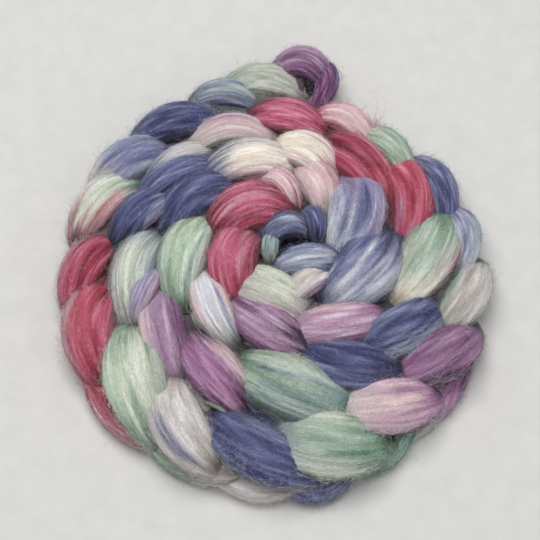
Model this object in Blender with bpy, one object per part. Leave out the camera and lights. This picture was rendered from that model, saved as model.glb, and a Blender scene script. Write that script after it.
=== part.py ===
"""A braid of hand-dyed wool roving, chained loop through loop and coiled flat.

Units are metres. The coil lies on z = 0 with its loose end away from the viewer,
at +Y. The chain lies on its edge, so each loop shows one fat leg on top, its other
leg lies under it, and the roving's return runs between the two as a core.
"""

import math
from collections import namedtuple

import bmesh
import bpy
from mathutils import Vector
from mathutils.geometry import interpolate_bezier

MM = 0.001

# One row for each loop of the chain that shows, from the loose end to the middle.
# The places are in mm from the coil's middle. A leg rises at its start, on the side
# of the coil's middle, and dives at its end, on the outer side. Bow is how far the
# leg swings out to the left of its way, so most bow outwards with a minus sign.
Leg = namedtuple("Leg", "start_x start_y end_x end_y width crown bow")
CHAIN = [
    Leg(10, 140, 20, 112, 17, 31, 13),
    Leg(29, 127, -5, 138, 22, 38, -6),
    Leg(12, 121, -38, 127, 22, 34, -4),
    Leg(-15, 113, -58, 118, 20, 33, -3),
    Leg(-40, 99, -94, 90, 26, 40, -2),
    Leg(-75, 79, -120, 53, 28, 42, -4),
    Leg(-93, 58, -131, 22, 27, 43, -4),
    Leg(-111, 17, -134, -24, 27, 44, -4),
    Leg(-108, -10, -115, -71, 34, 45, -11),
    Leg(-96, -41, -80, -107, 39, 50, -4),
    Leg(-71, -74, -46, -127, 35, 50, -8),
    Leg(-45, -96, 16, -131, 36, 49, -8),
    Leg(-7, -107, 59, -113, 44, 49, -7),
    Leg(37, -92, 90, -85, 36, 48, -4),
    Leg(74, -70, 116, -44, 34, 47, -4),
    Leg(97, -41, 122, 0, 28, 45, -4),
    Leg(109, -3, 105, 37, 20, 43, -7),
    Leg(103, 28, 84, 70, 22, 44, -5),
    Leg(80, 61, 51, 90, 20, 42, -3),
    Leg(56, 83, 23, 104, 20, 42, -3),
    Leg(26, 91, -22, 101, 23, 45, -2),
    Leg(-6, 85, -62, 78, 20, 44, -8),
    Leg(-46, 69, -92, 46, 20, 45, -2),
    Leg(-75, 48, -107, 15, 22, 46, -2),
    Leg(-82, 22, -93, -40, 29, 48, -8),
    Leg(-79, -16, -67, -71, 31, 47, -3),
    Leg(-62, -45, -24, -92, 34, 48, -2),
    Leg(-28, -63, 38, -92, 44, 49, -4),
    Leg(11, -54, 71, -66, 33, 48, -7),
    Leg(45, -53, 96, -27, 33, 48, -5),
    Leg(70, -21, 100, 33, 37, 49, -6),
    Leg(76, 15, 69, 69, 30, 47, -8),
    Leg(66, 45, 25, 84, 30, 46, -4),
    Leg(31, 60, -3, 80, 27, 48, -3),
    Leg(8, 67, -50, 60, 27, 48, -5),
    Leg(-31, 53, -76, 22, 28, 48, -7),
    Leg(-49, 30, -65, -25, 32, 50, -7),
    Leg(-52, -6, -33, -50, 25, 50, -4),
    Leg(-33, -24, 13, -53, 30, 49, -4),
    Leg(4, -41, 59, -33, 28, 49, -4),
    Leg(26, -22, 67, 20, 42, 51, -6),
    Leg(34, 6, 42, 57, 40, 52, -7),
    Leg(26, 34, 11, 64, 26, 50, -4),
    Leg(7, 37, -14, 58, 18, 47, -4),
    Leg(5, 34, -44, 20, 34, 54, -8),
    Leg(-21, 21, -30, -20, 34, 53, -7),
    Leg(-29, -10, 11, -30, 30, 50, 0),
    Leg(3, -23, 25, -6, 20, 48, 0),
    Leg(-5, -2, 34, 2, 20, 49, 0),
    Leg(20, 14, 13, 35, 14, 47, -3),
    Leg(15, 21, -13, 13, 19, 50, -5),
    Leg(-8, 17, -10, 2, 12, 46, 0),
]

# Strands of a leg that have parted from it and lie in the crease beside it.
PARTED = [
    Leg(-46, 79, -88, 56, 14, 43, -3),
    Leg(-69, 45, -98, 19, 13, 44, 0),
    Leg(-80, -4, -94, -38, 15, 48, 0),
    Leg(-49, -90, -31, -100, 6, 40, 0),
]

# Under-legs that stick out at the rim of the coil's near side, outside the wool that
# lies below the loops of RIM_LOOPS.
RimLeg = namedtuple("RimLeg", "start_x start_y end_x end_y width bow")
RIM = [
    RimLeg(-121, -68, -86, -109, 26, -2),
    RimLeg(-88, -100, -38, -132, 26, -3),
    RimLeg(-46, -124, 6, -136, 28, -3),
    RimLeg(-2, -135, 37, -130, 28, -3),
    RimLeg(38, -126, 75, -101, 26, -3),
    RimLeg(61, -105, 90, -96, 18, 0),
    RimLeg(77, -99, 111, -59, 26, -2),
]
RIM_LOOPS = range(8, 16)

THICKNESS_SHARE = 0.85  # a leg's thickness, as a share of its width
MOST_THICKNESS = 28 * MM
END_DIP = 15 * MM  # how far a leg's ends dive below its middle
REACH_BEFORE, REACH_AFTER = 0.16, 0.2  # how far a leg runs on past its ends in the table, in lengths
TURN_BEFORE, TURN_AFTER = -4 * MM, 9 * MM  # how far it turns there, to run along the coil
TIP_DEPTH = 0.55  # how deep it dives there, as a share of the height of its arch
FULLNESS = 0.95  # how much of the width in the table a leg fills
TIP_SHARE = 0.12  # a leg's girth at its tips, as a share of its middle
GIRTH_POWER = 0.72  # how full a leg stays towards its ends
STATIONS = 17
SIDES = 14

UNDER_RISE = 9 * MM  # how far an under-leg's ends rise above its middle
UNDER_AHEAD = 0.6  # how far along the chain an under-leg lies, in loops
UNDER_OUT = 2 * MM
RIM_GAP = 9 * MM  # how far inwards the wool below a loop lies where a rim leg is outside it
UNDER_SHARE = 0.9  # an under-leg's width, as a share of the leg on top of it
PRESSED = 2 * MM  # how deep the wool would reach below the surface that flattens it

CORE_WIDTH = 38 * MM  # enough to meet the next turn of the coil
CORE_TAIL_WIDTH = 16 * MM
CORE_TAIL_LOOPS = 6  # how many loops the core takes to come to its full width
CORE_THICKNESS = 21 * MM
CORE_MIDDLE = 14 * MM  # its height over the surface
CORE_IN = 7 * MM  # how far it lies towards the coil's middle, behind the legs
CORE_STEPS = 4  # between two loops

GRAIN = 2.2 * MM  # the fineness at which the fused wool is worked out
TRIANGLES = 10500


def thickness_of(width):
    return min(width * THICKNESS_SHARE, MOST_THICKNESS)


def girth(share):
    """The girth of a leg at a share of its whole length, as a share of its width in the table."""
    full = math.sin(math.pi * share) ** GIRTH_POWER if 0 < share < 1 else 0
    return FULLNESS * max(full, TIP_SHARE)


def add_tube(bm, centres, halves):
    """A closed tube on level rings, each with its half width and half height."""
    rings = []
    for index, (centre, (half_width, half_height)) in enumerate(zip(centres, halves)):
        before = centres[max(index - 1, 0)]
        after = centres[min(index + 1, len(centres) - 1)]
        way = (after - before).normalized()
        side = Vector((-way.y, way.x, 0)).normalized()
        up = way.cross(side)
        ring = []
        for step in range(SIDES):
            turn = 2 * math.pi * step / SIDES
            ring.append(
                bm.verts.new(
                    centre
                    + side * (half_width * math.cos(turn))
                    + up * (half_height * math.sin(turn))
                )
            )
        rings.append(ring)
    for first, second in zip(rings, rings[1:]):
        for step in range(SIDES):
            after = (step + 1) % SIDES
            bm.faces.new((first[step], first[after], second[after], second[step]))
    bm.faces.new(list(reversed(rings[0])))
    bm.faces.new(rings[-1])


def add_leg(bm, start, end, width, bow, height, end_height):
    """One leg of a loop: a leaf-shaped bundle that swings out between its two ends.

    The heights are those of its middle line, halfway along and at the ends. Past its
    ends the leg turns and levels out, where it runs on under its neighbours.
    """
    half_thickness = thickness_of(width) / 2
    way = end - start
    left = Vector((-way.y, way.x, 0)).normalized()
    centres = []
    halves = []
    for station in range(STATIONS + 1):
        share = station / STATIONS
        along = share * (1 + REACH_BEFORE + REACH_AFTER) - REACH_BEFORE
        before, after = min(along, 0) / REACH_BEFORE, max(along - 1, 0) / REACH_AFTER
        arch = 4 * along * (1 - along)
        rise = arch if arch > 0 else TIP_DEPTH * (math.exp(arch / TIP_DEPTH) - 1)
        swing = bow * arch + TURN_BEFORE * before**2 + TURN_AFTER * after**2
        centre = start + way * along + left * swing
        centre.z = end_height + (height - end_height) * rise
        centres.append(centre)
        halves.append((width / 2 * girth(share), half_thickness * girth(share)))
    add_tube(bm, centres, halves)


def ends_of(row):
    return Vector((row.start_x, row.start_y, 0)) * MM, Vector((row.end_x, row.end_y, 0)) * MM


def add_top_leg(bm, row):
    """A leg that shows from above, its ends diving between its neighbours."""
    width = row.width * MM
    height = row.crown * MM - thickness_of(width) / 2
    add_leg(bm, *ends_of(row), width, row.bow * MM, height, height - END_DIP)


def add_low_leg(bm, start, end, width, bow):
    """A leg that lies on the surface and is pressed flat by it, its ends rising."""
    height = thickness_of(width) / 2 - PRESSED
    add_leg(bm, start, end, width, bow, height, height + UNDER_RISE)


def add_under_leg(bm, row, following, out):
    """The other leg of a loop, some way ahead of the one on top and shifted outwards."""
    start, end = ends_of(row)
    following_start, following_end = ends_of(following)
    start = start.lerp(following_start, UNDER_AHEAD)
    end = end.lerp(following_end, UNDER_AHEAD)
    way = (end - start).normalized()
    shift = Vector((way.y, -way.x, 0)) * out
    add_low_leg(bm, start + shift, end + shift, row.width * MM * UNDER_SHARE, row.bow * MM)


def smooth_path(points):
    """Places along a smooth curve through these, CORE_STEPS from each to the next."""
    last = len(points) - 1
    bends = [(points[min(i + 1, last)] - points[max(i - 1, 0)]) / 6 for i in range(last + 1)]
    path = []
    for i in range(last):
        leaving, arriving = points[i] + bends[i], points[i + 1] - bends[i + 1]
        path += interpolate_bezier(points[i], leaving, arriving, points[i + 1], CORE_STEPS + 1)[:-1]
    return path + [points[last]]


def add_core(bm):
    """The roving's return between the two rows of legs, which fills the coil."""
    path = smooth_path([sum(ends_of(row), Vector()) / 2 for row in CHAIN])
    centres = []
    halves = []
    for index, place in enumerate(path):
        fullness = min(index / (CORE_STEPS * CORE_TAIL_LOOPS), 1)
        way = path[min(index + 1, len(path) - 1)] - path[max(index - 1, 0)]
        inwards = Vector((-way.y, way.x, 0)).normalized()
        centre = place + inwards * (CORE_IN * fullness)
        centre.z = CORE_MIDDLE
        width = CORE_TAIL_WIDTH + (CORE_WIDTH - CORE_TAIL_WIDTH) * fullness
        centres.append(centre)
        halves.append((width / 2, CORE_THICKNESS / 2))
    add_tube(bm, centres, halves)


def wound_wool():
    """All legs, under-legs and the core as overlapping closed bundles."""
    bm = bmesh.new()
    for row in CHAIN + PARTED:
        add_top_leg(bm, row)
    for row in RIM:
        add_low_leg(bm, *ends_of(row), row.width * MM, row.bow * MM)
    for loop, (row, following) in enumerate(zip(CHAIN, CHAIN[1:])):
        add_under_leg(bm, row, following, -RIM_GAP if loop in RIM_LOOPS else UNDER_OUT)
    add_core(bm)
    mesh = bpy.data.meshes.new("wool")
    bm.to_mesh(mesh)
    bm.free()
    return mesh


def modified(mesh, kind, settings):
    """The mesh that a modifier makes of this one."""
    helper = bpy.data.objects.new("helper", mesh)
    bpy.context.scene.collection.objects.link(helper)
    modifier = helper.modifiers.new(kind.title(), kind)
    for name, value in settings.items():
        setattr(modifier, name, value)
    graph = bpy.context.evaluated_depsgraph_get()
    made = bpy.data.meshes.new_from_object(helper.evaluated_get(graph))
    bpy.data.objects.remove(helper)
    return made


def islands(bm):
    """The faces of each connected surface."""
    waiting = set(bm.faces)
    found = []
    while waiting:
        seed = waiting.pop()
        island = [seed]
        for face in island:
            for edge in face.edges:
                for other in edge.link_faces:
                    if other in waiting:
                        waiting.remove(other)
                        island.append(other)
        found.append(island)
    return found


def keep_outer_skin(mesh):
    """Deletes the walls of closed pockets between the bundles."""
    bm = bmesh.new()
    bm.from_mesh(mesh)
    pockets = sorted(islands(bm), key=len)[:-1]
    bmesh.ops.delete(bm, geom=[face for pocket in pockets for face in pocket], context="FACES")
    bm.to_mesh(mesh)
    bm.free()


def press_flat(mesh):
    """Cuts the mesh off level at the surface it lies on."""
    bm = bmesh.new()
    bm.from_mesh(mesh)
    bmesh.ops.bisect_plane(
        bm,
        geom=bm.verts[:] + bm.edges[:] + bm.faces[:],
        plane_co=(0, 0, 0),
        plane_no=(0, 0, 1),
        clear_inner=True,
    )
    rim = [edge for edge in bm.edges if edge.is_boundary]
    bmesh.ops.triangle_fill(bm, edges=rim, use_beauty=True, use_dissolve=False, normal=(0, 0, -1))
    bmesh.ops.recalc_face_normals(bm, faces=bm.faces[:])
    bm.to_mesh(mesh)
    bm.free()


def centre_on_origin(mesh):
    """Moves the mesh so that the origin is the middle of its footprint."""
    for axis in (0, 1):
        places = [vertex.co[axis] for vertex in mesh.vertices]
        middle = (min(places) + max(places)) / 2
        for vertex in mesh.vertices:
            vertex.co[axis] -= middle


def roving_material():
    material = bpy.data.materials.new("dyed roving")
    material.use_nodes = True
    shader = material.node_tree.nodes["Principled BSDF"]
    shader.inputs["Base Color"].default_value = (0.36, 0.33, 0.45, 1)
    shader.inputs["Roughness"].default_value = 0.75
    shader.inputs["Metallic"].default_value = 0
    return material


for old in list(bpy.data.objects):
    bpy.data.objects.remove(old)

skin = modified(wound_wool(), "REMESH", {"mode": "VOXEL", "voxel_size": GRAIN})
keep_outer_skin(skin)
skin_triangles = sum(len(polygon.vertices) - 2 for polygon in skin.polygons)
skin = modified(skin, "DECIMATE", {"ratio": TRIANGLES / skin_triangles})
press_flat(skin)
centre_on_origin(skin)
skin.materials.clear()
skin.materials.append(roving_material())
skin.shade_smooth()
skin.name = "braid"
bpy.context.scene.collection.objects.link(bpy.data.objects.new("braid", skin))
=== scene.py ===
import math
from collections import namedtuple

import bpy
import numpy as np
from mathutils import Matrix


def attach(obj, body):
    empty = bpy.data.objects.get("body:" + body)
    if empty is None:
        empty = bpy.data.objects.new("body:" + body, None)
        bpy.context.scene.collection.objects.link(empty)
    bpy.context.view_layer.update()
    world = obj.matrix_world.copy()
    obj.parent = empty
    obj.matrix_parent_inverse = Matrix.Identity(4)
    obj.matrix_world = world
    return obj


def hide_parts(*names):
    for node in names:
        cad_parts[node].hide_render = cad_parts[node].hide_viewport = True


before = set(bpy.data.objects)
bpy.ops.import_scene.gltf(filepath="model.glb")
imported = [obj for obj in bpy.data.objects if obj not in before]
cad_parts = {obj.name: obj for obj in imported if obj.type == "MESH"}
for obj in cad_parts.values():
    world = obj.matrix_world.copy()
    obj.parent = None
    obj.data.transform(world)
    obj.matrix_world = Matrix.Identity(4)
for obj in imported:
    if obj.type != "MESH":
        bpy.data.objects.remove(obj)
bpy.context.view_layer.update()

bpy.ops.object.select_all(action="DESELECT")

# The outer turn: the loose end and nineteen loops of the chain, each showing the fat leg
# of combed merino and silk that lies on top. Every leg is one soft bundle of parallel
# fibres, swelling in its middle and diving between its neighbours at both ends.
MM = 0.001
COIL_SHIFT = np.array([6.15, -0.36, 0.0]) * MM  # from the table's places to the frame's
THICKNESS_SHARE = 0.85  # a leg's thickness to its width
MOST_THICKNESS = 28 * MM
END_DIP = 15 * MM  # how far below its middle a leg's ends in the table lie
REACH_BEFORE, REACH_AFTER = 0.16, 0.2  # how far a leg runs on beyond its ends in the table
TIP_DEPTH = 0.55  # how deep it dives there, in END_DIPs
TURN_BEFORE, TURN_AFTER = -4 * MM, 9 * MM  # how far it turns there, to run along the coil
GIRTH_POWER = 0.72  # under 1, it keeps its girth for longer before it narrows to a tip
FULLNESS = 0.95  # the fibres laid on it take up the rest of its girth
SQUARENESS = 0.82  # under 1, legs are flatter on top and fill the creases
AROUND, STATIONS = 52, 22  # how finely a leg's surface is divided
TOP_CROWDING = 0.35  # how much closer the lengthwise lines lie on top than underneath

# The dyer's colours, in sRGB steps.
DYES = {
    "midnight": (44, 44, 80),
    "navy": (66, 70, 114),
    "indigo": (84, 88, 130),
    "denim": (106, 110, 150),
    "slate": (116, 119, 150),
    "bluebell": (126, 130, 164),
    "silver": (156, 162, 180),
    "mist": (196, 199, 208),
    "snow": (214, 213, 218),
    "frost": (152, 163, 166),
    "lagoon": (98, 114, 118),
    "teal": (128, 152, 150),
    "jade": (126, 158, 144),
    "pine": (106, 138, 114),
    "sage": (147, 168, 148),
    "moss": (152, 165, 142),
    "reed": (170, 186, 170),
    "mint": (190, 206, 184),
    "lichen": (186, 190, 178),
    "celery": (206, 211, 196),
    "ivory": (233, 226, 213),
    "pearl": (208, 203, 200),
    "stone": (188, 180, 176),
    "ash": (164, 163, 160),
    "blush": (219, 194, 196),
    "shell": (208, 186, 188),
    "rose": (200, 154, 163),
    "rosewood": (172, 124, 133),
    "berry": (196, 104, 134),
    "coral": (182, 78, 100),
    "raspberry": (170, 66, 92),
    "garnet": (155, 52, 76),
    "crimson": (122, 26, 44),
    "thistle": (194, 162, 182),
    "orchid": (178, 150, 174),
    "lilac": (166, 150, 178),
    "mauve": (163, 116, 154),
    "heather": (146, 110, 142),
    "purple": (122, 74, 118),
    "violet": (86, 62, 104),
    "plum": (62, 32, 62),
}

# One row is the leg of one loop that shows. Its ends, width, crown and bow are in mm, and its
# dyes are those of its start, middle, end, inner and outer side.
Leg = namedtuple(
    "Leg", "start_x start_y end_x end_y width crown bow start middle end inner outer"
)
OUTER_TURN = [
    Leg(10, 140, 20, 112, 17, 31, 13, "violet", "purple", "purple", "violet", "violet"),
    Leg(29, 127, -5, 138, 22, 38, -6, "plum", "heather", "heather", "purple", "orchid"),
    Leg(12, 121, -38, 127, 22, 34, -4, "stone", "lichen", "sage", "celery", "lichen"),
    Leg(-15, 113, -58, 118, 20, 33, -3, "slate", "frost", "slate", "slate", "silver"),
    Leg(-40, 99, -94, 90, 26, 40, -2, "navy", "navy", "indigo", "midnight", "indigo"),
    Leg(-75, 79, -120, 53, 28, 42, -4, "slate", "bluebell", "stone", "silver", "silver"),
    Leg(-93, 58, -131, 22, 27, 43, -4, "pine", "celery", "rosewood", "rose", "pearl"),
    Leg(-111, 17, -134, -24, 27, 44, -4, "crimson", "raspberry", "raspberry", "raspberry", "rosewood"),
    Leg(-108, -10, -115, -71, 34, 45, -11, "crimson", "coral", "raspberry", "berry", "rosewood"),
    Leg(-96, -41, -80, -107, 39, 50, -4, "sage", "celery", "sage", "lichen", "mint"),
    Leg(-71, -74, -46, -127, 35, 50, -8, "stone", "pearl", "stone", "pearl", "stone"),
    Leg(-45, -96, 16, -131, 36, 49, -8, "navy", "indigo", "navy", "slate", "navy"),
    Leg(-7, -107, 59, -113, 44, 49, -7, "frost", "reed", "pine", "celery", "lichen"),
    Leg(37, -92, 90, -85, 36, 48, -4, "pearl", "shell", "mauve", "thistle", "thistle"),
    Leg(74, -70, 116, -44, 34, 47, -4, "mauve", "heather", "purple", "purple", "purple"),
    Leg(97, -41, 122, 0, 28, 45, -4, "moss", "stone", "ash", "sage", "pearl"),
    Leg(109, -3, 105, 37, 20, 43, -7, "mist", "silver", "slate", "mist", "frost"),
    Leg(103, 28, 84, 70, 22, 44, -5, "indigo", "indigo", "slate", "slate", "slate"),
    Leg(80, 61, 51, 90, 20, 42, -3, "reed", "reed", "moss", "moss", "jade"),
    Leg(56, 83, 23, 104, 20, 42, -3, "rose", "blush", "berry", "rose", "rose"),
]

# Thin locks of another dye that run along a leg: which leg, where across it (1 is its
# inner edge, -1 its outer edge), how wide, and the share of the leg where it shows.
Lock = namedtuple("Lock", "leg dye across width first last")
OUTER_LOCKS = [
    Lock(6, "denim", -0.25, 0.16, 0.1, 0.8),
    Lock(6, "denim", 0.3, 0.12, 0.0, 0.6),
    Lock(7, "raspberry", 0.62, 0.1, 0.3, 0.8),
    Lock(8, "crimson", 0.1, 0.12, 0.2, 0.8),
    Lock(9, "coral", -0.3, 0.3, 0.2, 0.7),
    Lock(10, "celery", 0.2, 0.14, 0.3, 0.8),
    Lock(11, "indigo", -0.5, 0.1, 0.35, 0.95),
    Lock(11, "slate", -0.62, 0.1, 0.3, 0.9),
    Lock(13, "pine", -0.1, 0.16, 0.4, 0.95),
    Lock(14, "mauve", 0.2, 0.14, 0.45, 0.95),
    Lock(15, "plum", -0.7, 0.16, 0.0, 0.6),
    Lock(17, "denim", 0.15, 0.08, 0.1, 0.9),
]

Bundle = namedtuple(
    "Bundle",
    "start end bow low rise half_width half_thickness folds ridges feathers patches dyes locks"
    " place packed",
)


def linear(name):
    """A dye as linear light."""
    share = np.array(DYES[name]) / 255
    return np.where(share < 0.04045, share / 12.92, ((share + 0.055) / 1.055) ** 2.4)


# Waves round a leg: how many, and their size. Folds part its locks and ridges swell them, both
# as shares of its half width. Feathers make the borders of its dyes ragged, and in patches the
# wool took less dye.
FOLDS, FOLD_DEPTH = [3, 4, 6], 0.08
RIDGES, RIDGE_HEIGHT = [2, 3, 5, 7], 0.022
FEATHERS, FEATHER_SIZE = [2, 3, 5, 8, 11, 15, 19], 0.34
PATCHES, PATCH_SIZE = [6, 11, 19, 30], 1
LEAN = 1.6  # how far most of them wind round the leg from end to end, in radians
FOLD_PACE = 3  # how fast folds come and go along the leg, in radians from end to end
PATCH_PACE, PATCH_PACES = 9, 3  # the same for patches: as a rule, and how much it differs


def waves(counts, size, dice):
    """Waves round a bundle that lean a little along it: counts, sizes, phases and leans."""
    counts = np.array(counts, float)
    sizes = size * dice.uniform(0.5, 1, len(counts))
    phases = dice.uniform(0, 2 * math.pi, len(counts))
    return counts, sizes, phases, dice.normal(0, LEAN, len(counts))


def height_of(waves, along, around):
    """How high the waves stand at places on a bundle."""
    counts, sizes, phases, leans = waves
    turned = counts * around[..., None] + phases + leans * along[..., None]
    return (sizes * np.sin(turned)).sum(-1)


def depth_of(folds, along, around):
    """How deep the folds between a bundle's locks are. They are narrow, and each shows only
    along a part of the bundle."""
    counts, sizes, phases, leans = folds
    along, around = along[..., None], around[..., None]
    shown = np.sin((FOLD_PACE + leans) * along + 2 * phases) ** 2
    turned = (counts * around + phases + leans * along) / 2
    return (sizes * shown * (1 - np.abs(np.sin(turned))) ** 2).sum(-1)


def unevenness(patches, along, around):
    """How much less dye there is in patches along a bundle, from about -1 to 1."""
    counts, sizes, phases, leans = patches
    along, around = along[..., None], around[..., None]
    shown = np.sin((PATCH_PACE + PATCH_PACES * leans) * along + 2 * phases)
    return (sizes * shown * np.sin(counts * around + phases + leans * along)).sum(-1)


def bundle_of(leg, width, height, end_height, locks, place, dice, packed):
    """A leg from its row in the table; heights are those of its middle line, and the last argument
    is how strongly painted shade darkens its creases at its outer and its inner side."""
    width = width * MM
    return Bundle(
        np.array([leg.start_x, leg.start_y, 0]) * MM + COIL_SHIFT,
        np.array([leg.end_x, leg.end_y, 0]) * MM + COIL_SHIFT,
        leg.bow * MM,
        end_height,
        height - end_height,
        width / 2,
        min(width * THICKNESS_SHARE, MOST_THICKNESS) / 2,
        waves(FOLDS, FOLD_DEPTH, dice),
        waves(RIDGES, RIDGE_HEIGHT, dice),
        waves(FEATHERS, FEATHER_SIZE, dice),
        waves(PATCHES, PATCH_SIZE, dice),
        [linear(name) for name in (leg.start, leg.middle, leg.end, leg.inner, leg.outer)],
        locks,
        place,
        packed,
    )


def top_bundle(leg, locks, place, dice, packed):
    """A leg that shows from above: its crown is its highest point."""
    thickness = min(leg.width * MM * THICKNESS_SHARE, MOST_THICKNESS)
    height = leg.crown * MM - thickness / 2
    return bundle_of(leg, leg.width, height, height - END_DIP, locks, place, dice, packed)


def squared(share):
    """The sine or cosine of a round section, made into that of a squarer one."""
    return np.sign(share) * np.abs(share) ** SQUARENESS


def surface_of(bundle, along, around, lift=0):
    """Places on a bundle's surface: along from 0 to 1, around as an angle from its inner side."""
    share = along
    along = share * (1 + REACH_BEFORE + REACH_AFTER) - REACH_BEFORE
    arch = 4 * along * (1 - along)
    slope = 4 * (1 - 2 * along)
    beyond = np.exp(np.minimum(arch, 0) / TIP_DEPTH)
    rise = np.where(arch > 0, arch, TIP_DEPTH * (beyond - 1))
    way = bundle.end - bundle.start
    flat_way = way / np.linalg.norm(way)
    left = np.array([-flat_way[1], flat_way[0], 0])
    before, after = np.minimum(along, 0) / REACH_BEFORE, np.maximum(along - 1, 0) / REACH_AFTER
    swing = arch * bundle.bow + TURN_BEFORE * before**2 + TURN_AFTER * after**2
    centre = bundle.start + along[..., None] * way + swing[..., None] * left
    centre[..., 2] = bundle.low + bundle.rise * rise
    turn = 2 * TURN_BEFORE * before / REACH_BEFORE + 2 * TURN_AFTER * after / REACH_AFTER
    heading = way + (slope * bundle.bow + turn)[..., None] * left
    heading[..., 2] = bundle.rise * slope * beyond
    heading /= np.linalg.norm(heading, axis=-1, keepdims=True)
    side = np.stack([-heading[..., 1], heading[..., 0], np.zeros_like(along)], -1)
    side /= np.linalg.norm(side, axis=-1, keepdims=True)
    up = np.cross(heading, side)
    full = np.sin(np.pi * np.clip(share, 0, 1)) ** GIRTH_POWER
    girth = FULLNESS * full * (
        1 + height_of(bundle.ridges, share, around) - depth_of(bundle.folds, share, around)
    )
    cos, sin = np.cos(around), np.sin(around)
    across = side * ((bundle.half_width * girth + lift) * squared(cos))[..., None]
    above = up * ((bundle.half_thickness * girth + lift) * squared(sin))[..., None]
    return centre + across + above


def ramp(low, high, value):
    """0 below low and 1 above high, with a soft rise between them."""
    share = np.clip((value - low) / (high - low), 0, 1)
    return share * share * (3 - 2 * share)


# Where the dye of a leg's side sets in and is full, 1 being the edge of the leg; the same for
# that of an end; and how far a feather and a push move the two.
SIDE_BORDER, SIDE_FEATHER, SIDE_PUSH = (0.1, 0.75), 0.22, 0.2
END_BORDER, END_FEATHER, END_PUSH = (0.58, 0.86), 0.16, 0.08
MOST_PUSH = 1.6
LOCK_DYE = 0.85  # how fully a lock's dye covers the leg's own
LOCK_END = 0.15  # how soft its ends are, as a share of the leg
LOCK_SWAY, LOCK_FEATHER = 0.12, 0.05  # how far it sways across, and a feather moves it
LOCK_LOWEST = -0.3  # how far down the leg's sides it may show, -1 being the leg's underside
CREASE_SHADE = 0.5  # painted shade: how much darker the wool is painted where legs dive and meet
CREASE_SHADE_POWER = 1.3  # painted shade: how much deeper and darker the colour is painted there
CREASE_END, CREASE_SIDE = (0.68, 1.06), (0.75, 1)  # where the painted shade in a leg's creases sets in and is full
SIDE_CREASE = 0.4  # how strong the painted shade at a leg's sides is
CREASE_SHADING_BORDER = (-0.6, 0.2)  # where the painted shade's strength at the outer side passes into that at the inner side
FOLD_SHADE = 1.5  # painted shade: how much deeper and darker the colour is painted in the folds between locks
UNEVEN_DYE = 0.26  # how much less shows in the patches


def dye_and_shade_of(bundle, along, around, push=0):
    """The dye at places on a bundle, with painted shade in its creases and folds. The borders
    between dyes are feathered along the fibres, and push moves them a little further."""
    feather = height_of(bundle.feathers, along, around)
    folded = depth_of(bundle.folds, along, around)
    across = np.cos(around)
    along = along * (1 + REACH_BEFORE + REACH_AFTER) - REACH_BEFORE
    start, colour, end, inner, outer = bundle.dyes
    for dye, share in (
        (inner, ramp(*SIDE_BORDER, across + SIDE_FEATHER * feather + SIDE_PUSH * push)),
        (outer, ramp(*SIDE_BORDER, -across + SIDE_FEATHER * feather + SIDE_PUSH * push)),
        (start, ramp(*END_BORDER, 1 - along + END_FEATHER * feather + END_PUSH * push)),
        (end, ramp(*END_BORDER, along + END_FEATHER * feather + END_PUSH * push)),
    ):
        colour = colour + share[..., None] * (dye - colour)
    on_top = np.sin(around) > LOCK_LOWEST
    for lock in bundle.locks:
        drift = across + LOCK_FEATHER * feather + LOCK_SWAY * np.sin(4 * along + lock.across * 9)
        share = np.exp(-(((drift - lock.across) / lock.width) ** 2)) * on_top
        share = share * ramp(0, LOCK_END, along - lock.first) * ramp(0, LOCK_END, lock.last - along)
        colour = colour + (LOCK_DYE * share)[..., None] * (linear(lock.dye) - colour)
    # painted shade: how deep in a crease each place lies, at the leg's ends and sides, weighted by its
    # outer and inner side
    depth = ramp(*CREASE_END, np.abs(2 * along - 1))
    depth = depth + SIDE_CREASE * ramp(*CREASE_SIDE, np.abs(across))
    outer_shading, inner_shading = bundle.packed
    depth *= outer_shading + (inner_shading - outer_shading) * ramp(*CREASE_SHADING_BORDER, across)
    depth = np.minimum(depth, 1)[..., None]
    # painted shade deepens and darkens the colour in creases and folds; in the patches the wool really
    # took less dye
    taken = CREASE_SHADE_POWER * depth + FOLD_SHADE * folded[..., None]
    taken -= UNEVEN_DYE * unevenness(bundle.patches, along, around)[..., None]
    return colour ** (1 + taken) * (1 - CREASE_SHADE * depth)


def add_colours(mesh, name, colours):
    """Writes these colours, dyes with any painted shade in them, as linear light, on the mesh's
    points.
    """
    layer = mesh.color_attributes.new(name, "FLOAT_COLOR", "POINT")
    layer.data.foreach_set("color", np.c_[colours, np.ones(len(colours))].ravel())


AT_TIP = 0.99999  # the ball's poles, by their distance from its middle
GRAIN_STEP = (1.37, 2.61)  # shifts each leg's grain, so that no two are alike


def plain_bundle(around, stations):
    """A ball with its poles along X, to be drawn out into legs."""
    bpy.ops.mesh.primitive_uv_sphere_add(
        segments=around, ring_count=stations, radius=1, rotation=(0, math.pi / 2, 0)
    )
    ball = bpy.context.object
    bpy.ops.object.transform_apply(location=True, rotation=True, scale=True)
    bpy.ops.object.shade_smooth()
    return ball


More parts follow.
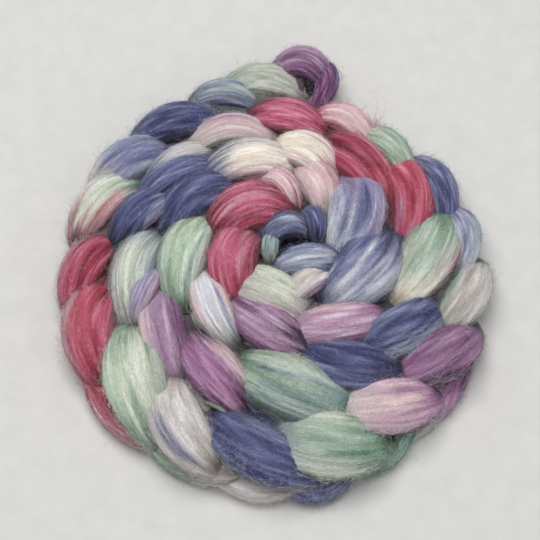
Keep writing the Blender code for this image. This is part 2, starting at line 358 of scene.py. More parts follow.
def drawn_out(ball, bundle, on_floor=False):
    """A copy of the ball, drawn out into this bundle, with its dyes."""
    mesh = ball.data.copy()
    co = np.empty(len(mesh.vertices) * 3)
    mesh.vertices.foreach_get("co", co)
    co = co.reshape(-1, 3)
    along = 1 - np.arccos(np.clip(co[:, 0], -1, 1)) / math.pi
    from_top = np.arctan2(co[:, 1], co[:, 2])
    around = math.pi / 2 - (from_top - TOP_CROWDING * np.sin(from_top))
    places = surface_of(bundle, along, around)
    tips = np.abs(co[:, 0]) > AT_TIP
    if tips.any():
        middle = surface_of(bundle, along[tips], around[tips])
        opposite = surface_of(bundle, along[tips], around[tips] + math.pi)
        places[tips] = (middle + opposite) / 2
    if on_floor:
        places[:, 2] = np.maximum(places[:, 2], 0)
    mesh.vertices.foreach_set("co", places.ravel())
    add_colours(mesh, "dye", dye_and_shade_of(bundle, along, around))
    add_colours(mesh, "second dye", dye_and_shade_of(bundle, along, around, push=-MOST_PUSH))
    grain = mesh.uv_layers[0]
    uv = np.empty(len(grain.data) * 2)
    grain.data.foreach_get("uv", uv)
    uv = uv.reshape(-1, 2) + bundle.place * np.array(GRAIN_STEP)
    grain.data.foreach_set("uv", uv.ravel())
    grain.name = "grain"
    mesh.update()
    made = bpy.data.objects.new("leg", mesh)
    bpy.context.scene.collection.objects.link(made)
    return made


def joined(objects, name):
    """These objects as one piece."""
    bpy.ops.object.select_all(action="DESELECT")
    for each in objects:
        each.select_set(True)
    bpy.context.view_layer.objects.active = objects[0]
    bpy.ops.object.join()
    piece = bpy.context.object
    piece.name = name
    piece.data.name = name
    bpy.ops.object.select_all(action="DESELECT")
    return piece


# Broad streaks, fine ones and nap: how many there are round and along a leg, and their detail.
BROAD, FINE, NAP = (34, 3.2, 3), (120, 12, 2), (190, 60, 2)
BROAD_TONES, FINE_TONES, NAP_TONES = (0.92, 1.08), (0.88, 1.12), (0.82, 1.18)
TONE_NOISE = (0.3, 0.7)  # the noise at which a tone is at its least and its most
SECOND_DYE = (0.42, 0.6)  # the noise of the broad streaks at which it sets in and is full
NAP_HEIGHT = 0.6  # how high the nap stands beside the fine streaks


def wool_surface(name):
    """Combed wool with silk: dyes and painted shade from the mesh, broken up into fine streaks along
    the grain.
    """
    material = bpy.data.materials.new(name)
    material.use_nodes = True
    nodes, links = material.node_tree.nodes, material.node_tree.links
    shader = nodes["Principled BSDF"]
    shader.inputs["Roughness"].default_value = 0.62
    shader.inputs["Diffuse Roughness"].default_value = 0.8
    shader.inputs["Specular IOR Level"].default_value = 0.35
    shader.inputs["Sheen Weight"].default_value = 0.2
    shader.inputs["Sheen Roughness"].default_value = 0.5
    grain = nodes.new("ShaderNodeUVMap")
    grain.uv_map = "grain"

    def streaks(around, along, detail):
        """Noise drawn out along the grain."""
        stretch = nodes.new("ShaderNodeMapping")
        stretch.inputs["Scale"].default_value = (around, along, 1)
        noise = nodes.new("ShaderNodeTexNoise")
        noise.noise_dimensions = "2D"
        noise.inputs["Scale"].default_value = 1
        noise.inputs["Detail"].default_value = detail
        noise.inputs["Roughness"].default_value = 0.6
        noise.inputs["Distortion"].default_value = 0.15
        links.new(grain.outputs["UV"], stretch.inputs["Vector"])
        links.new(stretch.outputs["Vector"], noise.inputs["Vector"])
        return noise.outputs["Fac"]

    def spread(value, low, high, to_low, to_high):
        """The value, stretched from one range to another."""
        node = nodes.new("ShaderNodeMapRange")
        node.inputs["From Min"].default_value = low
        node.inputs["From Max"].default_value = high
        node.inputs["To Min"].default_value = to_low
        node.inputs["To Max"].default_value = to_high
        links.new(value, node.inputs["Value"])
        return node.outputs["Result"]

    broad, fine, nap = streaks(*BROAD), streaks(*FINE), streaks(*NAP)
    first, second = nodes.new("ShaderNodeAttribute"), nodes.new("ShaderNodeAttribute")
    first.attribute_name, second.attribute_name = "dye", "second dye"
    blend = nodes.new("ShaderNodeMix")
    blend.data_type = "RGBA"
    links.new(spread(broad, *SECOND_DYE, 0, 1), blend.inputs["Factor"])
    links.new(first.outputs["Color"], blend.inputs["A"])
    links.new(second.outputs["Color"], blend.inputs["B"])
    tone = blend.outputs["Result"]
    for streak, tones in ((broad, BROAD_TONES), (fine, FINE_TONES), (nap, NAP_TONES)):
        shade = nodes.new("ShaderNodeVectorMath")
        shade.operation = "SCALE"
        links.new(tone, shade.inputs[0])
        links.new(spread(streak, *TONE_NOISE, *tones), shade.inputs["Scale"])
        tone = shade.outputs["Vector"]
    links.new(tone, shader.inputs["Base Color"])
    relief = nodes.new("ShaderNodeMath")
    relief.operation = "ADD"
    links.new(spread(nap, 0, 1, 0, NAP_HEIGHT), relief.inputs[0])
    links.new(fine, relief.inputs[1])
    bump = nodes.new("ShaderNodeBump")
    bump.inputs["Strength"].default_value = 0.6
    bump.inputs["Distance"].default_value = 0.5 * MM
    links.new(relief.outputs["Value"], bump.inputs["Height"])
    links.new(bump.outputs["Normal"], shader.inputs["Normal"])
    return material


wool = wool_surface("dyed wool")


def fitted(piece, material):
    """Gives a piece its material, and says what it rides on and stands for."""
    piece.data.materials.clear()
    piece.data.materials.append(material)
    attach(piece, "root")
    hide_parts("braid")


# How strongly painted shade darkens the creases at a leg's outer and its inner side.
OUTER_CREASE_SHADING = (0.2, 1)  # the outer side lies open at the rim
END_CREASE_SHADING = (0, 0.3)  # and the loose end lies open all round
dice = np.random.default_rng(11)
outer_bundles = [
    top_bundle(
        leg, [lock for lock in OUTER_LOCKS if lock.leg == number], number, dice,
        OUTER_CREASE_SHADING if number > 1 else END_CREASE_SHADING,
    )
    for number, leg in enumerate(OUTER_TURN, 1)
]
ball = plain_bundle(AROUND, STATIONS)
outer_turn = joined([drawn_out(ball, bundle) for bundle in outer_bundles], "outer_turn_legs")
fitted(outer_turn, wool)

# The inner turns: thirty-two more loops wind on to the chain's first knot in the middle.
# The legs stand higher here, since the coil presses them upwards.
INNER_TURNS = [
    Leg(26, 91, -22, 101, 23, 45, -2, "raspberry", "berry", "crimson", "berry", "berry"),
    Leg(-6, 85, -62, 78, 20, 44, -8, "shell", "shell", "stone", "pearl", "orchid"),
    Leg(-46, 69, -92, 46, 20, 45, -2, "indigo", "denim", "indigo", "indigo", "silver"),
    Leg(-75, 48, -107, 15, 22, 46, -2, "indigo", "indigo", "midnight", "indigo", "indigo"),
    Leg(-82, 22, -93, -40, 29, 48, -8, "frost", "celery", "ash", "silver", "ash"),
    Leg(-79, -16, -67, -71, 31, 47, -3, "lilac", "orchid", "orchid", "purple", "shell"),
    Leg(-62, -45, -24, -92, 34, 48, -2, "plum", "mauve", "plum", "shell", "mauve"),
    Leg(-28, -63, 38, -92, 44, 49, -4, "sage", "reed", "teal", "lichen", "lagoon"),
    Leg(11, -54, 71, -66, 33, 48, -7, "navy", "navy", "midnight", "indigo", "denim"),
    Leg(45, -53, 96, -27, 33, 48, -5, "indigo", "navy", "navy", "denim", "silver"),
    Leg(70, -21, 100, 33, 37, 49, -6, "ivory", "reed", "pine", "lichen", "stone"),
    Leg(76, 15, 69, 69, 30, 47, -8, "berry", "coral", "coral", "raspberry", "raspberry"),
    Leg(66, 45, 25, 84, 30, 46, -4, "coral", "garnet", "crimson", "coral", "berry"),
    Leg(31, 60, -3, 80, 27, 48, -3, "rose", "ivory", "ivory", "shell", "shell"),
    Leg(8, 67, -50, 60, 27, 48, -5, "pearl", "ivory", "indigo", "shell", "pearl"),
    Leg(-31, 53, -76, 22, 28, 48, -7, "navy", "indigo", "navy", "indigo", "navy"),
    Leg(-49, 30, -65, -25, 32, 50, -7, "moss", "mint", "sage", "pearl", "reed"),
    Leg(-52, -6, -33, -50, 25, 50, -4, "stone", "snow", "ash", "blush", "shell"),
    Leg(-33, -24, 13, -53, 30, 49, -4, "purple", "orchid", "plum", "mauve", "mauve"),
    Leg(4, -41, 59, -33, 28, 49, -4, "orchid", "thistle", "mauve", "shell", "orchid"),
    Leg(26, -22, 67, 20, 42, 51, -6, "silver", "bluebell", "midnight", "indigo", "mist"),
    Leg(34, 6, 42, 57, 40, 52, -7, "mist", "bluebell", "lilac", "snow", "lilac"),
    Leg(26, 34, 11, 64, 26, 50, -4, "stone", "blush", "shell", "shell", "rosewood"),
    Leg(7, 37, -14, 58, 18, 47, -4, "rosewood", "blush", "rose", "rosewood", "rose"),
    Leg(5, 34, -44, 20, 34, 54, -8, "crimson", "berry", "crimson", "raspberry", "berry"),
    Leg(-21, 21, -30, -20, 34, 53, -7, "crimson", "berry", "raspberry", "crimson", "berry"),
    Leg(-29, -10, 11, -30, 30, 50, 0, "stone", "celery", "stone", "lichen", "stone"),
    Leg(3, -23, 25, -6, 20, 48, 0, "lichen", "pearl", "slate", "stone", "orchid"),
    Leg(-5, -2, 34, 2, 20, 49, 0, "bluebell", "silver", "navy", "bluebell", "silver"),
    Leg(20, 14, 13, 35, 14, 47, -3, "midnight", "indigo", "navy", "indigo", "indigo"),
    Leg(15, 21, -13, 13, 19, 50, -5, "midnight", "slate", "midnight", "midnight", "navy"),
    Leg(-8, 17, -10, 2, 12, 46, 0, "midnight", "frost", "ash", "teal", "teal"),
]
INNER_LOCKS = [
    Lock(24, "midnight", 0.2, 0.2, 0.6, 1),
    Lock(26, "purple", 0.6, 0.3, 0, 1),
    Lock(27, "shell", 0.75, 0.25, 0.3, 0.9),
    Lock(28, "denim", 0.15, 0.03, 0.1, 0.8),
    Lock(28, "teal", -0.35, 0.12, 0.2, 0.8),
    Lock(30, "bluebell", 0.4, 0.14, 0.1, 0.8),
    Lock(31, "rose", -0.85, 0.14, 0.4, 1),
    Lock(32, "garnet", 0.15, 0.1, 0.35, 0.95),
    Lock(32, "orchid", 0.5, 0.12, 0.1, 0.5),
    Lock(33, "berry", 0.55, 0.2, 0.3, 0.9),
    Lock(33, "crimson", 0.1, 0.12, 0.3, 0.8),
    Lock(35, "denim", 0.5, 0.16, 0.65, 1),
    Lock(37, "teal", 0.35, 0.06, 0.2, 0.9),
    Lock(38, "bluebell", 0.45, 0.14, 0.3, 1),
    Lock(41, "denim", 0.35, 0.12, 0.0, 0.9),
    Lock(41, "denim", -0.1, 0.14, 0.3, 1),
    Lock(41, "snow", -0.4, 0.1, 0.1, 0.7),
    Lock(41, "snow", 0.12, 0.07, 0.1, 0.75),
    Lock(42, "denim", -0.15, 0.14, 0.2, 1),
    Lock(45, "rose", 0.0, 0.08, 0.3, 0.8),
    Lock(45, "crimson", 0.3, 0.1, 0.4, 1),
    Lock(46, "rose", 0.2, 0.09, 0.1, 0.7),
    Lock(49, "denim", 0.45, 0.14, 0.1, 1),
    Lock(49, "snow", 0.0, 0.08, 0.1, 0.8),
    Lock(51, "mist", -0.1, 0.18, 0.3, 0.6),
]

# Strands that have parted from a leg and lie in the crease beside it.
PARTED = [
    Leg(-46, 79, -88, 56, 14, 43, -3, "stone", "pearl", "slate", "silver", "silver"),
    Leg(-69, 45, -98, 19, 13, 44, 0, "indigo", "slate", "slate", "lilac", "indigo"),
    Leg(-80, -4, -94, -38, 15, 48, 0, "lilac", "lilac", "ash", "thistle", "silver"),
    Leg(-50, -87, -31, -97, 6, 37, 0, "moss", "moss", "stone", "ash", "moss"),
]

# painted crease shade for the inner turns, at a leg's outer and its inner side
INNER_CREASE_SHADING = (0.8, 1)
dice = np.random.default_rng(21)
inner_bundles = [
    top_bundle(
        leg, [lock for lock in INNER_LOCKS if lock.leg == number], number, dice, INNER_CREASE_SHADING
    )
    for number, leg in enumerate(INNER_TURNS + PARTED, len(OUTER_TURN) + 1)
]
inner_turns = joined([drawn_out(ball, bundle) for bundle in inner_bundles], "inner_turn_legs")
fitted(inner_turns, wool)
bpy.data.objects.remove(ball)

# The under-legs: each loop's other leg lies beneath the one that shows, some way ahead of
# it, pressed flat by the surface. Seven of them stick out at the rim of the near side.
RimLeg = namedtuple("RimLeg", "start_x start_y end_x end_y width bow start middle end inner outer")
RIM = [
    RimLeg(-121, -68, -86, -109, 26, -2, "raspberry", "raspberry", "rosewood", "crimson", "rosewood"),
    RimLeg(-88, -100, -38, -132, 26, -3, "sage", "sage", "stone", "moss", "sage"),
    RimLeg(-46, -124, 6, -136, 28, -3, "stone", "pearl", "stone", "pearl", "pearl"),
    RimLeg(-2, -135, 37, -130, 28, -3, "indigo", "indigo", "slate", "navy", "indigo"),
    RimLeg(38, -126, 75, -101, 26, -3, "pine", "jade", "jade", "pine", "jade"),
    RimLeg(61, -105, 90, -96, 18, 0, "celery", "pearl", "celery", "pearl", "pearl"),
    RimLeg(77, -99, 111, -59, 26, -2, "orchid", "mauve", "purple", "purple", "mauve"),
]
RIM_LOOPS = range(8, 16)  # the loops whose place at the rim those seven take
RIM_GAP, UNDER_OUT = 9, 2  # in mm: how far in their under-legs lie, and how far out the others
UNDER_AHEAD = 0.6  # how far ahead of the leg above they lie, in loops
UNDER_SHARE = 0.9  # their width to that of the leg above
UNDER_RISE = 9 * MM  # how far their ends rise into the loops beside them
PRESSED = 2 * MM  # how much of them the table has pressed flat
UNDER_CREASE_SHADING = (0.3, 0.3)  # weak painted crease shade: their tips lie open at the rim
RIM_PLACE, UNDER_PLACE = 60, 70  # numbers that give them a grain of their own
RIM_DIVISIONS, UNDER_DIVISIONS = (64, 24), (24, 14)  # how finely they are divided


def under_leg(row, following, out):
    """The row of the leg under this loop, in the table's terms."""
    ends = np.array([row[:4], following[:4]], float)
    start_x, start_y, end_x, end_y = ends[0] + UNDER_AHEAD * (ends[1] - ends[0])
    way = np.array([end_x - start_x, end_y - start_y])
    shift = np.array([way[1], -way[0]]) / np.linalg.norm(way) * out
    return RimLeg(
        start_x + shift[0], start_y + shift[1], end_x + shift[0], end_y + shift[1],
        row.width * UNDER_SHARE, row.bow, *row[7:],
    )


def low_bundle(leg, place, dice):
    """A leg that lies on the table."""
    height = min(leg.width * MM * THICKNESS_SHARE, MOST_THICKNESS) / 2 - PRESSED
    return bundle_of(leg, leg.width, height, height + UNDER_RISE, [], place, dice, UNDER_CREASE_SHADING)


dice = np.random.default_rng(31)
chain = OUTER_TURN + INNER_TURNS
rim_bundles = [low_bundle(leg, RIM_PLACE + number, dice) for number, leg in enumerate(RIM)]
under_bundles = []
for loop, (row, following) in enumerate(zip(chain, chain[1:])):
    leg = under_leg(row, following, -RIM_GAP if loop in RIM_LOOPS else UNDER_OUT)
    under_bundles.append(low_bundle(leg, UNDER_PLACE + loop, dice))
ball = plain_bundle(*RIM_DIVISIONS)
rim_legs = joined([drawn_out(ball, each, on_floor=True) for each in rim_bundles], "rim_legs")
fitted(rim_legs, wool)
bpy.data.objects.remove(ball)
ball = plain_bundle(*UNDER_DIVISIONS)
under_legs = joined([drawn_out(ball, each, on_floor=True) for each in under_bundles], "under_legs")
fitted(under_legs, wool)
bpy.data.objects.remove(ball)

# The core: the roving's return runs between the two rows of legs and fills the coil. It
# is one thick flat strand, and shows only in the deepest gaps.
CORE_WIDTH, CORE_THICKNESS = 38 * MM, 21 * MM
CORE_TAIL_WIDTH, CORE_TAIL_LOOPS = 16 * MM, 6  # at the loose end, and the loops it widens over
CORE_BLUNT = 0.05  # how much its rounded end is cut off, in loops
CORE_MIDDLE = 14 * MM  # its height above the table
CORE_IN = 7 * MM  # how far it lies inside the loops' middles
CORE_STEPS, CORE_SIDES = 4, 16  # its rings for each loop, and their corners
CORE_SHADE, CORE_STREAK = 0.35, 0.8  # it lies in the dark, and its streaks are darker yet

middles = np.array(
    [[(row.start_x + row.end_x) / 2, (row.start_y + row.end_y) / 2, 0] for row in chain]
) * MM + COIL_SHIFT
knots = np.vstack([2 * middles[0] - middles[1], middles, 2 * middles[-1] - middles[-2]])
core_path = []  # a smooth curve through the middles
for before, here, after, beyond in zip(knots, knots[1:], knots[2:], knots[3:]):
    bend, twist = 2 * before - 5 * here + 4 * after - beyond, 3 * here - before - 3 * after + beyond
    for step in range(CORE_STEPS):
        t = step / CORE_STEPS
        core_path.append(0.5 * (2 * here + (after - before) * t + bend * t * t + twist * t ** 3))
core_path = np.array(core_path + [middles[-1]])
loops_in = np.arange(len(core_path)) / CORE_STEPS
fullness = np.minimum(loops_in / CORE_TAIL_LOOPS, 1)
rounded = np.sqrt(1 - (1 - np.minimum(loops_in + CORE_BLUNT, 1)) ** 2)
heading = np.gradient(core_path, axis=0)
inwards = np.stack([-heading[:, 1], heading[:, 0], np.zeros(len(heading))], 1)
inwards /= np.linalg.norm(inwards, axis=1, keepdims=True)
core_middle = core_path + inwards * (CORE_IN * fullness)[:, None] + (0, 0, CORE_MIDDLE)
core_half = rounded * (CORE_TAIL_WIDTH + (CORE_WIDTH - CORE_TAIL_WIDTH) * fullness) / 2
turns = 2 * math.pi * np.arange(CORE_SIDES) / CORE_SIDES
rings = (
    core_middle[:, None]
    + inwards[:, None] * (core_half[:, None] * np.cos(turns))[..., None]
    + np.array([0, 0, 1]) * (CORE_THICKNESS / 2 * rounded[:, None] * np.sin(turns))[..., None]
)
count = len(rings)
faces = [
    (i * CORE_SIDES + j, i * CORE_SIDES + (j + 1) % CORE_SIDES,
     (i + 1) * CORE_SIDES + (j + 1) % CORE_SIDES, (i + 1) * CORE_SIDES + j)
    for i in range(count - 1)
    for j in range(CORE_SIDES)
]
faces.append(tuple(reversed(range(CORE_SIDES))))
faces.append(tuple(range((count - 1) * CORE_SIDES, count * CORE_SIDES)))
core_mesh = bpy.data.meshes.new("core")
core_mesh.from_pydata(rings.reshape(-1, 3).tolist(), [], faces)
core_mesh.shade_smooth()
loop_dyes = np.array([linear(row.middle) for row in chain])
loops = np.arange(len(chain))
core_dyes = np.stack([np.interp(loops_in, loops, channel) for channel in loop_dyes.T], 1)
core_dyes = np.repeat(core_dyes * CORE_SHADE, CORE_SIDES, axis=0)
add_colours(core_mesh, "dye", core_dyes)
add_colours(core_mesh, "second dye", core_dyes * CORE_STREAK)
grain = core_mesh.uv_layers.new(name="grain")
for loop in core_mesh.loops:
    ring, side = divmod(loop.vertex_index, CORE_SIDES)
    grain.data[loop.index].uv = (side / CORE_SIDES, ring / CORE_STEPS)
core = bpy.data.objects.new("core", core_mesh)
bpy.context.scene.collection.objects.link(core)
fitted(core, wool)

# Combed fibres: the locks of merino and silk that lie along each leg's surface. They are
# laid singly here, each a hair's breadth proud, so that the light catches them.
Fibres = namedtuple("Fibres", "number width steps reach stray loft")
LONG = Fibres(5000, 0.15 * MM, 4, 0.22, 0.22, 0.5 * MM)
SHORT = Fibres(14000, 0.2 * MM, 3, 0.1, 0.35, 0.6 * MM)
WIDTHS = (0.6, 1.3)  # the finest and the coarsest, by the width above
LENGTHS = (0.5, 1.5)  # the shortest and the longest, by their reach
MIDDLES, ENDS = (0.1, 0.9), (0.02, 0.98)  # where along a leg their middles and ends may lie
ROUND_TOP = 0.85  # how far round the leg from its top they spread, in radians
SWAY = 0.15  # how much they waver as they turn
SUNK = 0.05 * MM  # how deep their ends lie in the leg
OFF_TABLE = 0.3 * MM  # no fibre lies lower than this
FIBRE_DYE, MOST_DYE = (1.0, 0.27, 0.5), 1.8  # how strongly they take it: mean, spread, least; most
SILK_SHARE = 0.14  # how many of them are silk, which takes the dye less; its sheen is painted in as a lighter colour
# how little dye silk takes, and how much lighter its painted sheen makes it
SILK_DYE, SILK_PAINTED_SHEEN = 0.8, 1.1


def strands(paths, radii, colours, name):
    """Thin closed strands along these paths (strand, step, xyz), as one piece. They are
    three-sided, and come to a point at both ends."""
    count, steps = paths.shape[:2]
    heading = np.gradient(paths, axis=1)
    heading /= np.linalg.norm(heading, axis=2, keepdims=True)
    side = np.stack([-heading[..., 1], heading[..., 0], np.zeros((count, steps))], -1)
    side /= np.maximum(np.linalg.norm(side, axis=2, keepdims=True), 1e-9)
    up = np.cross(heading, side)
    corners = 2 * math.pi * (np.arange(3) / 3 + 1 / 12)
    reach = radii[:, None, None, None]
    rings = (
        paths[:, :, None]
        + side[:, :, None] * (reach * np.cos(corners)[:, None])
        + up[:, :, None] * (reach * np.sin(corners)[:, None])
    )[:, 1:-1].reshape(count, -1, 3)
    verts = np.concatenate([paths[:, :1], rings, paths[:, -1:]], axis=1)
    last = verts.shape[1] - 1
    one = []
    for corner in range(3):
        a, b = 1 + corner, 1 + (corner + 1) % 3
        one.append((0, b, a))
        for ring in range(steps - 3):
            one += [(a, b, b + 3), (a, b + 3, a + 3)]
            a, b = a + 3, b + 3
        one.append((last, a, b))
    one = np.array(one)
    faces = (one[None] + (np.arange(count) * (last + 1))[:, None, None]).reshape(-1, 3)
    mesh = bpy.data.meshes.new(name)
    mesh.vertices.add(count * (last + 1))
    mesh.vertices.foreach_set("co", verts.ravel())
    mesh.loops.add(len(faces) * 3)
    mesh.loops.foreach_set("vertex_index", faces.ravel())
    mesh.polygons.add(len(faces))
    mesh.polygons.foreach_set("loop_start", np.arange(0, len(faces) * 3, 3))
    mesh.update(calc_edges=True)
    mesh.shade_smooth()
    tints = np.concatenate(
        [colours[:, :1], np.repeat(colours[:, 1:-1], 3, axis=1), colours[:, -1:]], axis=1
    )
    add_colours(mesh, "dye", tints.reshape(-1, 3))
    made = bpy.data.objects.new(name, mesh)
    made.visible_shadow = False  # a real hair is far finer than these, and lets light through
    bpy.context.scene.collection.objects.link(made)
    return made


def shared_out(number, bundles, dice):
    """The bundle that each of these fibres lies on, more of them on the larger ones."""
    sizes = np.array([np.linalg.norm(b.end - b.start) * b.half_width for b in bundles])
    return dice.choice(len(bundles), number, p=sizes / sizes.sum())


def taken_dye(mean, spread, least, count, dice):
    """How strongly single fibres take the dye, by the leg's own strength."""
    return np.clip(dice.normal(mean, spread, count), least, MOST_DYE)[:, None, None]


def laid_fibres(bundles, fibres, dice, name):
    """Fibres laid along these bundles. Reach is their mean share of a leg's length, stray how
    far they turn off its grain, and loft how far the loosest of them stand off the leg."""
    shares = shared_out(fibres.number, bundles, dice)
    t = np.linspace(0, 1, fibres.steps)
    paths, colours = [], []
    for index, bundle in enumerate(bundles):
        count = int((shares == index).sum())
        length = fibres.reach * dice.uniform(*LENGTHS, count)
        middle = dice.uniform(*MIDDLES, count)
        first, last = np.clip([middle - length / 2, middle + length / 2], *ENDS)
        around = math.pi / 2 + dice.normal(0, ROUND_TOP, count)
        drift = dice.normal(0, fibres.stray, count)
        phase = dice.uniform(0, 6.28, count)
        along = first[:, None] + (last - first)[:, None] * t
        sway = SWAY * np.sin(5 * t + phase[:, None])
        turned = around[:, None] + drift[:, None] * (t - 0.5 + sway)
        loft = (fibres.loft * dice.uniform(0, 1, count) ** 2)[:, None]
        paths.append(surface_of(bundle, along, turned, loft * (1 - (2 * t - 1) ** 4) - SUNK))
        taken = taken_dye(*FIBRE_DYE, count, dice)
        push = dice.uniform(-MOST_PUSH, MOST_PUSH, count)[:, None]
        shown = dye_and_shade_of(bundle, along, turned, push) ** taken
        silk = dice.random(count) < SILK_SHARE
        # silk is paler, and painted lighter still for its sheen
        shown[silk] = SILK_PAINTED_SHEEN * shown[silk] ** SILK_DYE
        colours.append(shown)
    paths, colours = np.concatenate(paths), np.concatenate(colours)
    paths[..., 2] = np.maximum(paths[..., 2], OFF_TABLE)
    radii = fibres.width / 2 * dice.uniform(*WIDTHS, len(paths))
    return strands(paths, radii, colours, name)


def fibre_surface():
    """Single fibres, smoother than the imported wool, each with its own dye and small flecks."""
    material = bpy.data.materials.new("combed fibres")
    material.use_nodes = True
    nodes, links = material.node_tree.nodes, material.node_tree.links
    shader = nodes["Principled BSDF"]
    shader.inputs["Roughness"].default_value = 0.42
    shader.inputs["Specular IOR Level"].default_value = 0.6
    shader.inputs["Sheen Weight"].default_value = 0.2
    shader.inputs["Sheen Roughness"].default_value = 0.5
    dye = nodes.new("ShaderNodeAttribute")
    dye.attribute_name = "dye"
    place = nodes.new("ShaderNodeTexCoord")
    noise = nodes.new("ShaderNodeTexNoise")
    noise.inputs["Scale"].default_value = 900
    links.new(place.outputs["Object"], noise.inputs["Vector"])
    tone = nodes.new("ShaderNodeMapRange")
    tone.inputs["To Min"].default_value, tone.inputs["To Max"].default_value = 0.8, 1.2
    links.new(noise.outputs["Fac"], tone.inputs["Value"])
    shade = nodes.new("ShaderNodeVectorMath")
    shade.operation = "SCALE"
    links.new(dye.outputs["Color"], shade.inputs[0])
    links.new(tone.outputs["Result"], shade.inputs["Scale"])
    links.new(shade.outputs["Vector"], shader.inputs["Base Color"])
    return material


single_fibres = fibre_surface()
dice = np.random.default_rng(41)
half = len(inner_bundles) // 2
groups = {
    "outer_turn": outer_bundles + rim_bundles,
    "middle_turn": inner_bundles[:half],
    "inner_turn": inner_bundles[half:],
}
for group, bundles in groups.items():
    fitted(laid_fibres(bundles, LONG, dice, group + "_fibres"), single_fibres)
    fitted(laid_fibres(bundles, SHORT, dice, group + "_locks"), single_fibres)

# Stray fibres: hairs that have worked loose and make the wool's soft edge. Most are short
# and stand close, as fuzz; a few are long and curl away.
Hairs = namedtuple("Hairs", "number width steps reach stray lift curl paler")
OUTER_FUZZ = Hairs(27000, 0.16 * MM, 3, 0.05, 0.4, 1.2 * MM, 0.3 * MM, 0.35)
INNER_FUZZ = Hairs(27000, 0.16 * MM, 3, 0.05, 0.4, 1.0 * MM, 0.3 * MM, 0.05)
STRAYS = Hairs(3000, 0.1 * MM, 5, 0.12, 0.6, 1.3 * MM, 0.5 * MM, 0.35)
TUFT = Hairs(110, 0.16 * MM, 5, 0.08, 0.5, 4.5 * MM, 0.5 * MM, 0.1)
TUFT_ALONG, TUFT_AROUND = (0.24, 0.3), (0.5, 0.9)  # where on its leg the tuft stands
LONGEST_HAIR = 0.35  # as a share of its leg
FARTHEST = 0.42  # from a leg's middle: a hair that would end past it runs the other way
LEAST_STANDING = 0.3  # on top of a leg hairs lie flatter than at its sides
HAIR_DYE = (0.97, 0.3, 0.4)  # how strongly they take the dye: mean, spread, least
HAIR_PALER = 0.02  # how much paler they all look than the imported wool


def loose_hairs(bundles, hairs, dice, name, along_leg=(0.08, 0.92), off_top=(-2.0, 2.0)):
    """Hairs that start in the wool and rise off it: mean reach along the leg, turn off its
    grain, height over it and curl, and how much paler they look at the coil's outside, where
    light comes through them. They start in these ranges along the leg and around it."""
    shares = shared_out(hairs.number, bundles, dice)
    t = np.linspace(0, 1, hairs.steps)
    paths, colours = [], []
    for index, bundle in enumerate(bundles):
        count = int((shares == index).sum())
        first = dice.uniform(*along_leg, count)
        around = math.pi / 2 + dice.uniform(*off_top, count)
        reach = np.minimum(dice.gamma(2.0, hairs.reach / 2, count), LONGEST_HAIR)
        reach *= dice.choice([-1, 1], count)
        past_tip = np.abs(first + reach - 0.5) > FARTHEST
        along = first[:, None] + np.where(past_tip, -reach, reach)[:, None] * t
        turned = around[:, None] + dice.normal(0, hairs.stray, count)[:, None] * t**1.5
        arch = np.sin(math.pi * dice.uniform(0.5, 1.0, count)[:, None] * t)
        standing = LEAST_STANDING + (1 - LEAST_STANDING) * np.abs(np.cos(around))
        lift = (dice.gamma(2.0, 0.8 * hairs.lift, count) * standing)[:, None] * arch
        places = surface_of(bundle, along, turned, lift)
        way = dice.normal(0, 1, (count, 1, 3))
        curl = way * np.sin(4 * t + dice.uniform(0, 6, (count, 1)))[..., None]
        paths.append(places + hairs.curl * curl)
        colour = dye_and_shade_of(bundle, along, turned) ** taken_dye(*HAIR_DYE, count, dice)
        # painted light: hairs on the coil's outer side are made paler, for the light that comes
        # through them
        paler = HAIR_PALER + hairs.paler * np.maximum(-np.cos(turned), 0)[..., None]
        colours.append(colour + paler * (1 - colour))
    paths, colours = np.concatenate(paths), np.concatenate(colours)
    paths[..., 2] = np.maximum(paths[..., 2], OFF_TABLE)
    return strands(paths, np.full(len(paths), hairs.width / 2), colours, name)


dice = np.random.default_rng(51)
for piece in (
    loose_hairs(outer_bundles + rim_bundles, OUTER_FUZZ, dice, "outer_fuzz"),
    loose_hairs(inner_bundles, INNER_FUZZ, dice, "inner_fuzz"),
    loose_hairs(outer_bundles + inner_bundles + rim_bundles, STRAYS, dice, "stray_fibres"),
    loose_hairs(outer_bundles[-1:], TUFT, dice, "stray_tuft", TUFT_ALONG, TUFT_AROUND),
):
    fitted(piece, single_fibres)

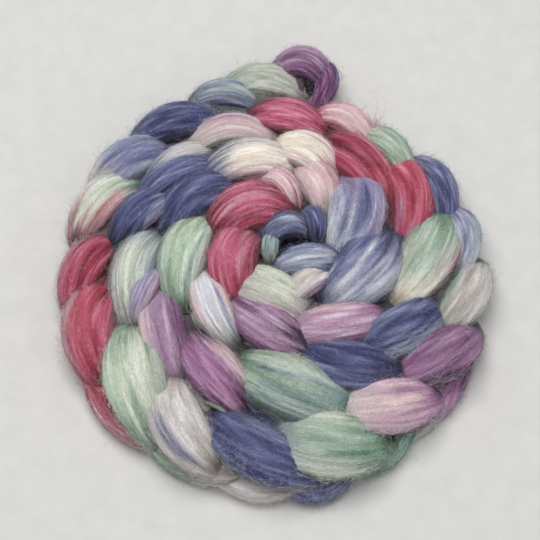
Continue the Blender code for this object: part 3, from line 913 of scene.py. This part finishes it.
# The studio: a pale cloth on a table, one large soft lamp above and behind, and a camera
# that looks down steeply from the near side.
FLOOR = (0.66, 0.65, 0.625)
DARKEST_NAP, PALEST_NAP = 0.9, 1.1  # the tones of the cloth's nap, by that of the cloth
bpy.ops.mesh.primitive_plane_add(size=8)
floor = bpy.context.object
floor.name = "floor"
cloth = bpy.data.materials.new("pale cloth")
cloth.use_nodes = True
nodes, links = cloth.node_tree.nodes, cloth.node_tree.links
shader = nodes["Principled BSDF"]
shader.inputs["Roughness"].default_value = 0.95
place = nodes.new("ShaderNodeTexCoord")
nap = nodes.new("ShaderNodeTexNoise")
nap.inputs["Scale"].default_value = 70
nap.inputs["Detail"].default_value = 7
nap.inputs["Roughness"].default_value = 0.65
links.new(place.outputs["Object"], nap.inputs["Vector"])
tint = nodes.new("ShaderNodeMix")
tint.data_type = "RGBA"
tint.inputs["A"].default_value = (*[DARKEST_NAP * c for c in FLOOR], 1)
tint.inputs["B"].default_value = (*[PALEST_NAP * c for c in FLOOR], 1)
links.new(nap.outputs["Fac"], tint.inputs["Factor"])
links.new(tint.outputs["Result"], shader.inputs["Base Color"])
floor.data.materials.append(cloth)


def lamp(name, place, size, power):
    """A square soft lamp that looks at the middle of the coil."""
    light = bpy.data.lights.new(name, "AREA")
    light.size = size
    light.energy = power
    holder = bpy.data.objects.new(name, light)
    holder.location = place
    way = -np.array(place)
    holder.rotation_euler = (
        math.acos(-way[2] / np.linalg.norm(way)), 0, math.atan2(way[1], way[0]) - math.pi / 2
    )
    bpy.context.scene.collection.objects.link(holder)


lamp("key", place=(-0.15, 0.2, 1.7), size=1.0, power=25.5)
lamp("fill", place=(0.7, -0.9, 1.3), size=1.6, power=3.5)
world = bpy.data.worlds.new("studio")
world.use_nodes = True
world.node_tree.nodes["Background"].inputs["Color"].default_value = (0.93, 0.96, 1, 1)
world.node_tree.nodes["Background"].inputs["Strength"].default_value = 0.26
bpy.context.scene.world = world
bpy.context.scene.view_settings.view_transform = "Standard"

ELEVATION = math.radians(72)
DISTANCE = 1.2
AIM = (-0.00315, -0.00761, 0.040)
PICTURE, PIXEL = 540, 0.62 * MM  # the picture's width, and what one pixel of it shows
SENSOR = 36
camera = bpy.data.cameras.new("camera")
camera.sensor_width = SENSOR
camera.lens = SENSOR * DISTANCE / (PICTURE * PIXEL)
camera_holder = bpy.data.objects.new("camera", camera)
camera_holder.location = (
    AIM[0],
    AIM[1] - DISTANCE * math.cos(ELEVATION),
    AIM[2] + DISTANCE * math.sin(ELEVATION),
)
camera_holder.rotation_euler = (math.pi / 2 - ELEVATION, 0, 0)
bpy.context.scene.collection.objects.link(camera_holder)
bpy.context.scene.camera = camera_holder
